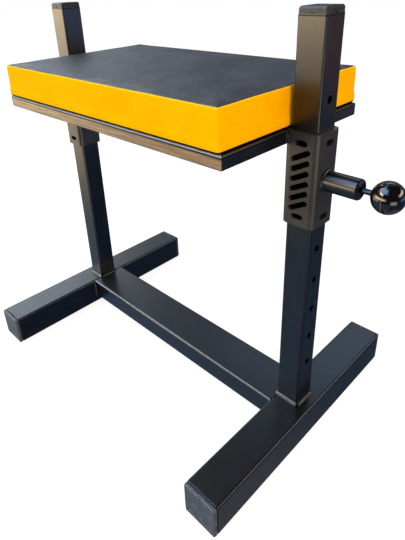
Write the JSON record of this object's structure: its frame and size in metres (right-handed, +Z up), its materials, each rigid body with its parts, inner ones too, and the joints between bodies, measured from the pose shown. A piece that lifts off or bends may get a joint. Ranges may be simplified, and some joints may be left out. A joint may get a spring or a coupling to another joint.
{
  "type": "squat box",
  "caption": "Height-adjustable squat box: upholstered seat on sleeves that slide on two uprights of a welded H-shaped floor frame, locked by spring-loaded pull pins.",
  "frame": {"origin": "on the floor in the middle of the two feet", "axes": "+Z up, +X to the right along the cross beam, -Y to the front; the uprights stand 4.5 mm behind the middle of the feet"},
  "size_m": [0.866, 0.506, 0.713],
  "materials": {
    "powder_coat": "satin",
    "cap_plastic": "satin",
    "black_vinyl": "satin",
    "yellow_vinyl": "satin",
    "plywood": "matte",
    "foam": "matte",
    "zinc_steel": "satin",
    "spring_steel": "satin",
    "bush_steel": "satin",
    "knob_plastic": "gloss"
  },
  "bodies": {
    "base": {"cross_beam": "powder_coat", "foot_left": "powder_coat", "foot_cap_front_left": "cap_plastic", "foot_cap_back_left": "cap_plastic", "beam_weld_left": "powder_coat", "upright_left": "powder_coat", "upright_weld_left": "powder_coat", "upright_cap_left": "cap_plastic", "foot_right": "powder_coat", "foot_cap_front_right": "cap_plastic", "foot_cap_back_right": "cap_plastic", "beam_weld_right": "powder_coat", "upright_right": "powder_coat", "upright_weld_right": "powder_coat", "upright_cap_right": "cap_plastic"},
    "carriage": {"sleeve_left": "powder_coat", "sleeve_weld_left": "powder_coat", "seat_rail_left": "powder_coat", "seat_slat_left": "powder_coat", "pin_barrel_left": "powder_coat", "barrel_weld_left": "powder_coat", "sleeve_right": "powder_coat", "sleeve_weld_right": "powder_coat", "seat_rail_right": "powder_coat", "seat_slat_right": "powder_coat", "pin_barrel_right": "powder_coat", "barrel_weld_right": "powder_coat", "seat_rail_front": "powder_coat", "seat_rail_back": "powder_coat", "seat_top_cover": "black_vinyl", "seat_side_cover": "yellow_vinyl", "seat_board": "plywood", "seat_foam": "foam", "seat_bolts": "zinc_steel", "bolt_washers": "zinc_steel", "tee_nuts": "zinc_steel", "pin_spring_left": "spring_steel", "pin_spring_right": "spring_steel", "barrel_bush_left": "bush_steel", "barrel_bush_right": "bush_steel"},
    "pin_left": {"pin_plunger_left": "zinc_steel", "pin_knob_left": "knob_plastic"},
    "pin_right": {"pin_plunger_right": "zinc_steel", "pin_knob_right": "knob_plastic"}
  },
  "joints": [
    {"name": "seat_height", "type": "slide", "parent": "base", "child": "carriage", "axis": [0, 0, 1], "range_m": [-0.336, 0.112]},
    {"name": "pin_left_lock", "type": "slide", "parent": "carriage", "child": "pin_left", "axis": [1, 0, 0], "range_m": [0, 0.014], "stiffness_N_per_m": 1500, "springref_m": 0.024, "deforming": ["pin_spring_left"]},
    {"name": "pin_right_lock", "type": "slide", "parent": "carriage", "child": "pin_right", "axis": [-1, 0, 0], "range_m": [0, 0.014], "stiffness_N_per_m": 1500, "springref_m": 0.024, "deforming": ["pin_spring_right"]}
  ]
}
